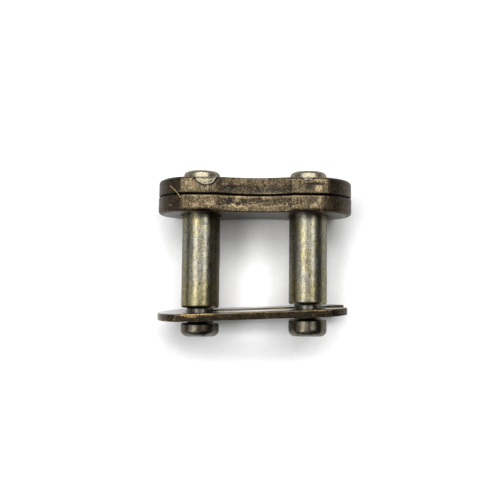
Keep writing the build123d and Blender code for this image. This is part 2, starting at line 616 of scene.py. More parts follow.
@dataclass
class Stamped:
    """A flat piece stamped from sheet: an outline, holes, and rows of points across its wall."""

    name: str
    outline: Outline
    holes: list[Outline]
    rim: Rim
    hole_rim: Rim
    step: float
    face_step: float
    seed: int
    to_space: Callable[[Array, Array], Array]
    roll: Callable[[Array], Array] | None = None

    @staticmethod
    def _placed(inset: float, depth: float, rows: Rim, scale: Array) -> tuple[Array, Array]:
        """One row with its near rounding scaled.

        Args:
            inset: The row's inset.
            depth: Its depth.
            rows: All rows of the wall.
            scale: How many times larger the near rounding is, at each point of the line.

        Returns:
            Inset and depth at each point.
        """
        near, far, thickness = rows[0][0], rows[-1][0], rows[-1][1]
        if depth <= near:
            return inset * scale, depth * scale
        share = min(1.0, (depth - near) / (thickness - far - near))
        return np.full_like(scale, inset), depth + (1 - share) * near * (scale - 1)

    def built(self) -> tuple[Mesh, dict[str, Array]]:
        """The mesh.

        Returns:
            The mesh, and at each vertex its distance in mm to the near and the far rim, its share of the
            thickness, and whether it lies in a wall.
        """
        flat, depth, faces, near_loops, far_loops = [], [], [], [], []
        layers = {"near": [], "far": [], "share": [], "wall": []}
        thickness = self.rim[-1][1]
        base = 0

        def note(count: int, **values: float | Array) -> None:
            """Stores one run of vertices in the layers."""
            for name, value in values.items():
                layers[name].append(np.broadcast_to(np.asarray(value, float), count))

        for loop, rows in [(self.outline, self.rim)] + [(h, self.hole_rim) for h in self.holes]:
            points, normals = loop.sampled(self.step)
            count, last = len(points), len(rows) - 1
            scale = self.roll(points) if self.roll and loop is self.outline else np.ones(count)
            travel = np.r_[0, np.cumsum([math.dist(a, b) for a, b in zip(rows, rows[1:])])]
            straight = [i for i, r in enumerate(rows) if r[0] <= TINY]
            near, far = travel[straight[0]] / 2, (travel[straight[-1]] + travel[-1]) / 2
            for i, (inset, w) in enumerate(rows):
                insets, depths = self._placed(inset, w, rows, scale)
                flat.append(points - normals * insets[:, None])
                depth.append(depths)
                away = {"near": abs(travel[i] - near), "far": abs(travel[i] - far)}
                note(count, **away, share=depths / thickness, wall=1)
            near_loops.append((base, flat[-last - 1]))
            far_loops.append((base + last * count, flat[-1]))
            ring = np.arange(count)
            for i in range(last):
                a, b = base + i * count + ring, base + (i + 1) * count + ring
                faces.extend(np.stack([a, np.roll(a, -1), np.roll(b, -1), b], 1).tolist())
            base += count * len(rows)
        random = np.random.default_rng(self.seed)
        for loops, side in ((near_loops, 0), (far_loops, 1)):
            fill, triangles, gaps = self._filled(loops, base, random)
            flat.append(fill)
            depth.append(np.full(len(fill), side * thickness))
            away = {"near": gaps + OTHER_SIDE * side, "far": gaps + OTHER_SIDE * (1 - side)}
            note(len(fill), **away, share=side, wall=0)
            faces.extend(triangles)
            base += len(fill)
        places = self.to_space(np.concatenate(flat), np.concatenate(depth))
        mesh = mesh_of(self.name, places, faces)
        return mesh, {name: np.concatenate(parts) for name, parts in layers.items()}

    def _filled(
        self, loops: list[tuple[int, Array]], base: int, random: np.random.Generator
    ) -> tuple[Array, list[list[int]], Array]:
        """Fills a face with triangles.

        Args:
            loops: First vertex number and points of each loop, the outline first.
            base: The number of the next new vertex.
            random: Where the points' jitter comes from.

        Returns:
            The new points, the triangles, and the points' distances to the outline.
        """
        outer = loops[0][1]
        low, high = outer.min(0), outer.max(0)
        step = self.face_step
        rows = np.arange(low[1] + step / 2, high[1], step * ROW_RATIO)
        lines = [np.arange(low[0] + (i % 2) * step / 2, high[0], step) for i in range(len(rows))]
        grid = np.concatenate([np.stack([x, np.full_like(x, y)], 1) for x, y in zip(lines, rows)])
        grid += random.uniform(-JITTER, JITTER, grid.shape) * step
        edge = np.concatenate([points for _, points in loops])
        keep = inside(grid, outer)
        for _, points in loops[1:]:
            keep &= ~inside(grid, points)
        grid = grid[keep]
        grid = grid[nearest(grid, edge) > step * CLEAR_OF_EDGE]
        points = np.concatenate([edge, grid])
        numbers, edges, start = [], [], 0
        for first, loop in loops:
            count = len(loop)
            numbers.extend(range(first, first + count))
            edges.extend((start + i, start + (i + 1) % count) for i in range(count))
            start += count
        numbers.extend(range(base, base + len(grid)))
        flat = [Vector(p) for p in points]
        found, _, triangles, origin, _, _ = delaunay_2d_cdt(flat, edges, [], 0, MERGE_LIMIT)
        triangles = np.array(triangles)
        found = np.array([(p.x, p.y) for p in found])
        centre = found[triangles].mean(1)
        keep = inside(centre, outer)
        for _, loop in loops[1:]:
            keep &= ~inside(centre, loop)
        index = np.array([numbers[o[0]] for o in origin])
        return grid, index[triangles[keep]].tolist(), nearest(grid, outer)


# --- Finishes ------------------------------------------------------------------


@dataclass(frozen=True)
class Wear:
    """How deep time has marked a surface, in mm, for the weathering tree."""

    hollow_size: float
    hollow_depth: float
    grain_size: float
    grain_depth: float
    pit_size: float
    pit_depth: float
    pit_cover: float
    seed: float

    def inputs(self, material: Material) -> dict[str, Value]:
        """The weathering tree's inputs."""
        return {
            "Hollow Size": self.hollow_size * MM,
            "Hollow Depth": self.hollow_depth * MM,
            "Grain Size": self.grain_size * MM,
            "Grain Depth": self.grain_depth * MM,
            "Pit Size": self.pit_size * MM,
            "Pit Depth": self.pit_depth * MM,
            "Pit Cover": self.pit_cover,
            "Seed": self.seed,
            "Material": material,
        }


def new_material(name: str) -> tuple[Material, Pen]:
    """An empty material and the pen that writes in it."""
    material = bpy.data.materials.new(name)
    material.use_nodes = True
    material.node_tree.nodes.clear()
    return material, Pen(material.node_tree, "ShaderNode")


def end_material(
    pen: Pen,
    colour: Value,
    rough: Value,
    metallic: Value,
    height: Value,
    depth: float,
    strength: Value = 1.0,
    edge: float = 1.0,
) -> None:
    """Ends a material in its shader.

    Args:
        pen: The material's pen.
        colour: Base colour.
        rough: Roughness.
        metallic: Metallic.
        height: What the fine bump follows.
        depth: The bump's depth in mm.
        strength: The bump's strength.
        edge: How bright the metal is where it's seen edge-on.
    """
    bump = pen.node("ShaderNodeBump", {"Height": height, "Distance": depth * MM, "Strength": strength})
    shader = pen.node(
        "ShaderNodeBsdfPrincipled",
        {
            "Base Color": colour,
            "Roughness": rough,
            "Metallic": metallic,
            "Specular Tint": (edge, edge, edge),
            "Normal": bump.outputs[0],
        },
    )
    pen.node("ShaderNodeOutputMaterial", {0: shader.outputs[0]})


@dataclass(frozen=True)
class OxidisedSteel:
    """Stamped steel with a dark oxide skin, worn to bronze on its rims and rubbed patches."""

    name: str
    dark: Colour
    skin: Colour
    rubbed: Colour
    bright: Colour
    torn: Colour
    bare: Colour
    lip: Colour
    seed: float
    polish: float
    edge: float

    def made(self) -> Material:
        """The material."""
        material, pen = new_material(self.name)
        at = pen.node("TexCoord").outputs["Object"]
        names = ("rim", "torn", "grime", "lip", "wall", "bare", "tarnish")
        rim, torn, grime, lip, wall, bare, tarnish = (pen.attribute(n) for n in names)
        across = pen.stretched(at, (1.0, 0.2, 1.0))
        mid = pen.noise(at, 0.9, self.seed, 3.0, 0.6)
        fine = pen.noise(at, 0.17, self.seed + 3, 3.0, 0.7)
        grit = pen.noise(at, 0.095, self.seed + 5, 2.0, 0.6)
        streak = pen.noise(across, 0.17, self.seed + 8, 3.0, 0.6)
        scuff = pen.noise(pen.stretched(at, (0.16, 1.0, 0.8)), 0.13, self.seed + 15, 2.0, 0.6, 0.4)
        broad = pen.noise(at, 3.2, self.seed + 19, 3.0, 0.5)
        face = pen.math("SUBTRACT", 1.0, wall, clamp=True)
        grain = pen.blend((fine, 0.5), (grit, 0.5))
        tone = pen.blend((mid, 0.25), (fine, 0.35), (streak, 0.4))
        even = pen.blend((mid, 0.35), (broad, 0.4), (fine, 0.25))
        streaked = pen.mix(pen.span(tone, 0.4, 0.59), self.skin, self.rubbed)
        smooth = pen.mix(pen.span(even, 0.4, 0.62), self.skin, self.rubbed)
        flecks = pen.times(pen.span(fine, 0.54, 0.66), pen.span(mid, 0.4, 0.6, 0.25, 0.9))
        scratched = pen.times(pen.span(scuff, 0.6, 0.68), pen.span(broad, 0.42, 0.6, 0.1, 0.6))
        worn = pen.times(pen.span(fine, 0.38, 0.58), pen.span(mid, 0.35, 0.6, 0.3, 1.0))
        hollows = pen.noise(at, 0.26, self.seed + 11, 3.0, 0.6)
        pits = pen.times(pen.span(hollows, 0.6, 0.7), 0.8)
        colour = pen.layered(
            streaked,
            (pen.times(face, 0.85), smooth),
            (pen.times(flecks, pen.span(face, 0.0, 1.0, 1.0, 0.3)), self.bright),
            (pen.times(scratched, face), self.bright),
            (pen.times(rim, worn), self.bright),
            # tarnish: painted shade on the rounded ends, and a darker waist where the dull share asks for it.
            (pen.times(tarnish, pen.span(tone, 0.35, 0.65, 1.0, 0.7)), self.skin),
            (pen.times(torn, pen.span(grain, 0.44, 0.57, 1.0, 0.12)), self.torn),
            (pits, self.dark),
            (pen.times(pen.span(grit, 0.58, 0.66), 0.75), self.dark),
            # grime: grime, plus painted shade in the gap between the plates, round the lips and in some
            # marks.
            (pen.times(grime, pen.span(fine, 0.25, 0.5, 0.8, 1.0)), self.dark),
            (pen.times(bare, pen.span(grain, 0.4, 0.54, 0.12, 1.0)), self.bare),
            # The lip's colour carries painted highlights on its ridges and painted shade in its crack.
            (pen.times(lip, pen.span(fine, 0.3, 0.5, 0.5, 1.0)), self.lip),
        )
        rough = pen.blend((wall, 0.12), (grit, 0.1), (pits, 0.1), (lip, 0.2), plus=self.polish)
        height = pen.blend((fine, 0.6), (grit, 0.4), (pits, -0.5))
        strength = pen.span(wall, 0.0, 1.0, 0.12, 1.0)
        end_material(
            pen, colour, rough, metallic=0.9, height=height, depth=0.022, strength=strength, edge=self.edge
        )
        return material


@dataclass(frozen=True)
class TurnedSteel:
    """Hardened pin steel, grey with an olive film and black specks."""

    name: str
    base: Colour
    film: Colour
    stain: Colour
    speck: Colour
    neck: Colour
    soil: Colour
    head: Colour
    cap: Colour
    rim: Colour
    seed: float

    def made(self) -> Material:
        """The material."""
        material, pen = new_material(self.name)
        at = pen.node("TexCoord").outputs["Object"]
        names = ("neck", "head", "cap", "rim", "oil", "soil")
        neck, head, cap, rim, oil, soil = (pen.attribute(n) for n in names)
        long = pen.stretched(at, (1.0, 0.25, 1.0))
        patch = pen.noise(at, 1.3, self.seed, 3.0, 0.6)
        grain = pen.noise(at, 0.17, self.seed + 2, 3.0, 0.7)
        grit = pen.noise(at, 0.2, self.seed + 4, 3.0, 0.6)
        scratch = pen.noise(long, 0.16, self.seed + 6, 3.0, 0.6)
        colour = pen.mix(pen.span(pen.blend((oil, 0.14), plus=patch), 0.42, 0.7), self.base, self.film)
        spots = pen.noise(at, 0.8, self.seed + 8, 4.0, 0.65)
        stained = pen.times(pen.span(spots, 0.6, 0.7), 0.7)
        ends = ((head, self.head), (cap, self.cap), (rim, self.rim))
        colour = pen.layered(colour, (stained, self.stain), *ends)
        shade = pen.span(pen.blend((grain, 0.6), (scratch, 0.4)), 0.34, 0.66, 0.45, 1.4)
        colour = pen.mix(1.0, colour, pen.grey(shade), "MULTIPLY")
        specks = pen.times(pen.span(grit, 0.6, 0.66), 0.8)
        colour = pen.layered(
            colour,
            (specks, self.speck),
            # Painted shade: the groove is darkened almost to black.
            (pen.times(neck, 0.85), self.neck),
            # soil: dirt on the free ends, painted shade where the pin leaves the cover plate and along the
            # left pin's right flank.
            (pen.times(soil, pen.span(grain, 0.3, 0.6, 1.0, 0.75)), self.soil),
        )
        rough = pen.blend((grain, 0.12), (specks, 0.15), (head, 0.08), plus=0.265)
        height = pen.blend((grain, 0.5), (grit, 0.3), (scratch, 0.2))
        end_material(pen, colour, rough, metallic=1.0, height=height, depth=0.012, edge=0.6)
        return material


@dataclass(frozen=True)
class Matt:
    """A plain material with a faint mottle. Sizes in mm."""

    name: str
    colour: Colour
    shade: float
    size: float
    seed: float
    detail: float
    tooth: float
    rough: float
    depth: float

    def made(self) -> Material:
        """The material."""
        material, pen = new_material(self.name)
        at = pen.node("TexCoord").outputs["Object"]
        mottle = pen.noise(at, self.size, self.seed, self.detail, self.tooth)
        shaded = tuple(self.shade * c for c in self.colour)
        colour = pen.mix(pen.span(mottle, 0.3, 0.7), shaded, self.colour)
        end_material(pen, colour, self.rough, metallic=0.0, height=mottle, depth=self.depth)
        return material


STRAW = Matt(
    "straw", (0.62, 0.46, 0.22), shade=0.6, size=0.2, seed=4.0,
    detail=2.0, tooth=0.55, rough=0.45, depth=0.004,
)
PAPER = Matt(
    "white paper", (0.86, 0.86, 0.86), shade=0.96, size=0.8, seed=2.0,
    detail=4.0, tooth=0.6, rough=0.9, depth=0.02,
)


# --- Sub-assemblies ------------------------------------------------------------

# Height of the pins' axes and the distance between them, in mm.
AXIS_HEIGHT = 4.7
PITCH = 12.7


@dataclass(frozen=True)
class Lip:
    """Rivet metal smeared over the plate's top edge and a little way down its outward face. Sizes in mm."""

    x: float
    half_width: float
    reach: float
    drop: float
    rolled: float = 0.3
    groove: float = 0.07
    outer_ring: Point = (0.93, 0.07)
    inner_ring: Point = (0.67, 0.06)
    crack_ring: Point = (0.8, 0.05)

    def marks(self, place: Array, near_y: float, top: float) -> tuple[Array, Array]:
        """Where the lip lies.

        Args:
            place: Places in mm.
            near_y: Station of the outward face.
            top: Height of the plate's top.

        Returns:
            How much of each place the lip covers, lighter on its two ridges as painted highlights and darker
            in the crack as painted shade, and how deep the plate sinks round it in mm.
        """
        across = (place[:, 0] - self.x) / self.half_width
        along = (near_y - place[:, 1]) / self.reach
        below = np.maximum(top - self.rolled - place[:, 2], 0) / self.drop
        wave = 0.02 * np.sin(9 * across) + 0.015 * np.sin(23 * across + 1)
        wave += 0.03 * np.sin(14 * across + 2) * np.minimum(below, 1)
        away = np.sqrt(across**2 + along**2 + below**2) + wave
        on_top = bump_of(place[:, 2], top - 1.6, top - 1.3)
        rings = (self.outer_ring, self.inner_ring, self.crack_ring)
        outer, inner, crack = (ridge(away - radius, width) for radius, width in rings)
        inner = inner * bump_of(0.45 - across, 0, 0.4)
        crack = crack * bump_of(across + 0.35, 0, 0.3) * bump_of(0.75 - across, 0, 0.3)
        # Painted light: the two rings lighten the lip as highlights on its ridges, and the crack darkens it
        # as painted shade.
        shade = np.clip(0.32 + 0.75 * outer + 0.75 * inner - crack, 0, 1)
        covered = (1 - bump_of(away, 0.94, 1.0)) * on_top * shade
        sunk = bump_of(away, 0.97, 1.02) * (1 - bump_of(away, 1.1, 1.3)) * on_top
        sunk = np.maximum(sunk, 0.6 * crack * on_top)
        return covered, self.groove * sunk


@dataclass(frozen=True)
class Mark:
    """One patch on the upper side, worn bright or darkened, an oval that fades at its border; the dark ones
    are grime in some places and painted shade in others. Sizes in mm.
    """

    x: float
    y: float
    half_x: float
    half_y: float
    level: float
    turn: float = 0.0
    below_axis: float = 0.6

    def strength(self, place: Array) -> Array:
        """How strong the mark is at each place.

        Args:
            place: Places in mm.

        Returns:
            The strength, above 0 where the mark bares the metal and below 0 where it darkens it, with grime
            in some marks and painted shade in others.
        """
        c, s = math.cos(math.radians(self.turn)), math.sin(math.radians(self.turn))
        dx, dy = place[:, 0] - self.x, place[:, 1] - self.y
        away = np.hypot((dx * c + dy * s) / self.half_x, (dy * c - dx * s) / self.half_y)
        ragged = away + 0.12 * np.sin(17 * dx + 5 * dy) + 0.08 * np.sin(29 * dy - 11 * dx)
        return self.level * (1 - bump_of(ragged, 0.6, 1.25)) * (place[:, 2] > AXIS_HEIGHT - self.below_axis)


def marked(place: Array, marks: tuple[Mark, ...]) -> tuple[Array, Array]:
    """Joins marks.

    Args:
        place: Places in mm.
        marks: The marks.

    Returns:
        How bare and how dark each place is, from 0 to 1; the dark share is grime in some marks and painted
        shade in others.
    """
    bare, grimy_and_shaded = np.zeros(len(place)), np.zeros(len(place))
    for mark in marks:
        strength = mark.strength(place)
        bare, grimy_and_shaded = np.maximum(bare, strength), np.maximum(grimy_and_shaded, -strength)
    return bare, grimy_and_shaded


@dataclass(frozen=True)
class Fibre:
    """A dry fibre that grease holds on a plate. Places and sizes in mm."""

    points: tuple[Place, ...]
    radius: float
    finish: Matt
    step: float = 0.08

    def lay(self, piece: Object, tree: Tree) -> None:
        """Lays the fibre on a piece and makes it part of that piece.

        Args:
            piece: The piece that holds the fibre.
            tree: The fibre tree.
        """
        fibre = new_piece("fibre", line_mesh("fibre", np.array(self.points)))
        size = {"Radius": self.radius * MM, "Step": self.step * MM}
        run_tree(fibre, tree, size | {"Material": self.finish.made()})
        turn_outwards(fibre.data)
        add_to(piece, fibre)


@dataclass
class Plate:
    """One of the two waisted plates. Sizes in mm."""

    node: str
    body: Body
    near_y: float
    flat: float
    hole_radius: float
    hole_lead: float
    outward: int
    wear: Wear
    finish: OxidisedSteel
    corners: Point
    dull: float
    torn_from: float
    torn_to: float
    rubbed_rim: float
    marks: tuple[Mark, ...]
    lips: tuple[Lip, ...] = ()
    fibres: tuple[Fibre, ...] = ()
    height: float = 9.4
    waist_height: float = 7.3
    thickness: float = 1.95
    die_roll: float = 0.3
    sheared_rim: float = 0.11
    step: float = 0.085
    face_step: float = 0.13
    corner_ease: float = 0.16
    roll_least: float = 0.6
    roll_gain: float = 0.85
    roll_rise: Point = (3.4, 4.8)
    dark_mark_depth: float = 0.03
    torn_depth: float = 0.02

    def roll(self, points: Array) -> Array:
        """How many times the die roll's size it has along the outline, least in the waist."""
        return self.roll_least + self.roll_gain * bump_of(np.abs(points[:, 0]), *self.roll_rise)

    def outline(self) -> Outline:
        """The plate's outline, counterclockwise from its right end's lower corner."""
        half, half_flat, half_pitch = self.height / 2, self.flat / 2, PITCH / 2
        end_x = half_pitch + math.hypot(half, half_flat)
        chord = half_pitch - half_flat
        depth = half - self.waist_height / 2
        waist = (chord**2 + depth**2) / (2 * depth)
        centre = self.waist_height / 2 + waist
        lean = math.asin(chord / waist)
        ease = self.corner_ease
        drawn = Outline()
        for side, turn, low in ((1, 0, -math.pi / 2), (-1, math.pi, math.pi / 2)):
            reach = abs(self.corners[side > 0])
            middle = (end_x**2 - reach**2 - half**2) / (2 * (end_x - reach))
            corner = math.atan2(half, reach - middle)
            other = abs(self.corners[side < 0])
            drawn.arc((side * middle, 0), end_x - middle, turn - corner, turn + corner, ease)
            drawn.line((side * reach, side * half), (side * chord, side * half), ease)
            drawn.arc((0, side * centre), waist, low + lean, low - lean, ease)
            drawn.line((-side * chord, side * half), (-side * other, side * half), ease)
        return drawn

    def build(self, weathering: Tree) -> Object:
        """Builds and dresses the plate.

        Args:
            weathering: The weathering tree.

        Returns:
            The finished piece.
        """
        def to_space(flat: Array, depth: Array) -> Array:
            """From the blank's plane, depth counted from the outward face."""
            y = self.near_y - self.outward * depth
            return np.stack([flat[:, 0], y, flat[:, 1] + AXIS_HEIGHT], 1)

        blank = Stamped(
            name=self.node + "_blank",
            outline=self.outline(),
            holes=[hole((side * PITCH / 2, 0), self.hole_radius) for side in (-1, 1)],
            rim=wall_rows(self.die_roll, self.sheared_rim, self.thickness, self.step),
            hole_rim=wall_rows(self.hole_lead, self.sheared_rim, self.thickness, self.step * 2),
            step=self.step,
            face_step=self.face_step,
            seed=round(self.wear.seed),
            to_space=to_space,
            roll=self.roll,
        )
        mesh, layers = blank.built()
        self._mark(mesh, layers)
        piece = new_piece(self.node + "_dressed", mesh)
        run_tree(piece, weathering, self.wear.inputs(self.finish.made()))
        for fibre in self.fibres:
            fibre.lay(piece, fibre_tree())
        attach(piece, self.body.value)
        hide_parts(self.node)
        return piece

    def _mark(self, mesh: Mesh, layers: dict[str, Array]) -> None:
        """Stores where the plate is torn, worn, grimy, smeared or darkened by painted shade, and sinks it
        there.
        """
        place = places_of(mesh)
        x = place[:, 0]
        share = layers["share"] + 0.05 * np.sin(2.3 * x + self.wear.seed) + 0.03 * np.sin(6.1 * x)
        middle = 1 - 0.8 * bump_of(np.abs(x - 0.4), 3.6, 4.6)
        band = bump_of(share, self.torn_from, self.torn_from + 0.08)
        band *= 1 - bump_of(share, self.torn_to, self.torn_to + 0.08)
        torn = layers["wall"] * middle * band
        jag = 0.03 * np.sin(13 * x) + 0.02 * np.sin(31 * x + 2)
        crest = ridge(share + jag - self.torn_from + 0.02, 0.035) * layers["wall"] * middle
        bare, grimy_and_shaded = marked(place, self.marks)
        lip, sunk = np.zeros(len(x)), np.zeros(len(x))
        for each in self.lips:
            covered, depth = each.marks(place, self.near_y, self.height)
            lip, sunk = np.maximum(lip, covered), np.maximum(sunk, depth)
        left, right = self.corners
        # Painted shade: the rounded ends darken beyond the flats' corners; the dull share also darkens the
        # waist.
        ends = np.maximum(bump_of(-x, -left - 0.1, 0.4 - left), bump_of(x, right - 0.1, right + 0.4))
        tarnish = 0.75 * ends + self.dull * bump_of(4.8 - np.abs(x), 0, 1.2)
        worn = self.dark_mark_depth * grimy_and_shaded + self.torn_depth * torn
        place[:, 2] -= sunk + worn * bump_of(place[:, 2], 8.0, 8.3)
        mesh.vertices.foreach_set("co", (place * MM).astype(np.float32).ravel())
        # The far rim darkens where the two plates meet: painted shade in the gap between them.
        near, edge = ridge(layers["near"], 0.16), ridge(layers["far"], 0.09)
        beside = ridge(layers["far"] - 0.17, 0.09)
        # Dark marks (grime in some, painted shade in others), the painted shade at the far rim, and a painted
        # shadow line in the groove round each lip (16 * sunk).
        grime = np.clip(edge + grimy_and_shaded + 16 * sunk, 0, 1)
        give_attributes(
            mesh,
            wall=layers["wall"],
            torn=torn,
            lip=lip,
            rim=(0.25 * near + self.rubbed_rim * beside) * (1 - tarnish),
            grime=grime * (1 - bump_of(lip, 0.2, 0.4)),
            bare=np.clip(0.7 * bare + 0.3 * self.rubbed_rim * crest, 0, 1),
            tarnish=tarnish * layers["wall"],
            calm=np.clip(0.8 - 0.15 * layers["wall"] - 0.65 * torn + lip, 0, 1),
        )


@dataclass(frozen=True)
class SoilAndShade:
    """One dark patch on a pin: dirt on the free ends, painted shade along the left pin's right flank. Angles
    in degrees from the top towards +X, the rest in mm.
    """

    turn: float
    station: float
    half_turn: float
    half_length: float
    level: float

    def strength(self, turn: Array, station: Array) -> Array:
        """How dark each place is.

        Args:
            turn: The places' angles round the pin.
            station: Their stations.

        Returns:
            From 0 to the patch's level.
        """
        ragged = 0.1 * np.sin(5 * station + 0.2 * turn) + 0.08 * np.sin(11 * station - 0.3 * turn)
        away = np.hypot((turn - self.turn) / self.half_turn, (station - self.station) / self.half_length)
        return self.level * (1 - bump_of(away + ragged, 0.6, 1.2))


@dataclass
class Pin:
    """One turned pin with its groove and rivet head.

    Sizes in mm, stations from the pin plate's inner face.
    """

    side: Side
    groove_reach: float
    reach: float
    wear: Wear
    finish: TurnedSteel
    soil_and_shade_patches: tuple[SoilAndShade, ...]
    oiled: float
    seat_y: float = 6.625
    radius: float = 2.25
    neck_radius: float = 1.55
    groove_width: float = 1.75
    head: float = 3.15
    plate: float = 1.95
    rivet_flat: float = 1.8
    rivet_rim: float = 2.15
    rivet_base: float = 2.2
    rim_drop: float = 0.26
    flare: float = 0.25
    end_round: float = 0.75
    edge_break: float = 0.2
    flat_ease: float = 0.16
    rim_ease: float = 0.18
    bevel_ease: float = 0.08
    neck_ease: float = 0.14
    margin: float = 0.02
    shade_ring_station: float = -2.3
    oil_middle: float = -7.0
    rows: int = 300
    segments: int = 150

    @property
    def name(self) -> str:
        """The CAD node's name."""
        return f"{self.side.name.lower()}_pin"

    def profile(self) -> Array:
        """Half profile from the rivet's middle to the free end's, radius and station."""
        end = self.groove_reach + self.groove_width
        bevel, soft, deep = self.edge_break, self.bevel_ease, self.neck_ease
        corners = [
            (0, self.head, 0),
            (self.rivet_flat, self.head, self.flat_ease),
            (self.rivet_rim, self.head - self.rim_drop, self.rim_ease),
            (self.rivet_base, self.plate, 0),
            (self.radius + self.flare, self.plate, 0),
            (self.radius, self.plate - self.flare, 0),
            (self.radius, -self.groove_reach + bevel, soft),
            (self.radius - bevel, -self.groove_reach, soft),
            (self.neck_radius, -self.groove_reach, deep),
            (self.neck_radius, -end, deep),
            (self.radius - bevel, -end, soft),
            (self.radius, -end - bevel, soft),
            (self.radius, -self.reach + self.end_round, 0),
        ]
        drawn = Outline(closed=False)
        for (x0, y0, _), (x1, y1, ease) in zip(corners, corners[1:]):
            drawn.line((x0, y0), (x1, y1), ease)
        round_centre = (self.radius - self.end_round, -self.reach + self.end_round)
        drawn.arc(round_centre, self.end_round, 0, -math.pi / 2)
        drawn.line((self.radius - self.end_round, -self.reach), (0, -self.reach))
        return drawn.drawn()

    def build(self, turning: Tree, weathering: Tree) -> Object:
        """Builds and dresses the pin.

        Args:
            turning: The tree that turns a profile.
            weathering: The weathering tree.

        Returns:
            The finished piece.
        """
        profile = self.profile()
        points = np.stack([profile[:, 0], profile[:, 1] + self.seat_y, np.zeros(len(profile))], 1)
        piece = new_piece(self.name + "_dressed", line_mesh(self.name + "_profile", points))
        material = self.finish.made()
        size = {
            "Axis X": self.side.value * PITCH / 2 * MM,
            "Axis Z": AXIS_HEIGHT * MM,
            "Rows": self.rows,
            "Segments": self.segments,
            "Material": material,
        }
        run_tree(piece, turning, size)
        turn_outwards(piece.data)
        place = places_of(piece.data)
        station = place[:, 1] - self.seat_y
        across = place[:, 0] - self.side.value * PITCH / 2
        turn = np.degrees(np.arctan2(across, place[:, 2] - AXIS_HEIGHT))
        groove_end = -self.groove_reach - self.groove_width + self.margin
        in_groove = (station < -self.groove_reach - self.margin) & (station > groove_end)
        # Painted shade: a dark ring where the pin comes out of the cover plate.
        ring = ridge(station - self.shade_ring_station, 0.3)
        soil = np.maximum.reduce([0.6 * ring, *(each.strength(turn, station) for each in self.soil_and_shade_patches)])
        beyond = station - self.oil_middle
        give_attributes(
            piece.data,
            head=bump_of(station, self.plate, self.plate + 0.1),
            neck=in_groove.astype(float),
            soil=soil,
            cap=(station < groove_end).astype(float),
            rim=ridge(station + self.reach, 0.4),
            oil=self.oiled * bump_of(-beyond, 2.0, 4.0) + 0.5 * bump_of(beyond, 2.0, 4.0),
        )
        run_tree(piece, weathering, self.wear.inputs(material))
        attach(piece, Body.LINK.value)
        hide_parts(self.name)
        return piece


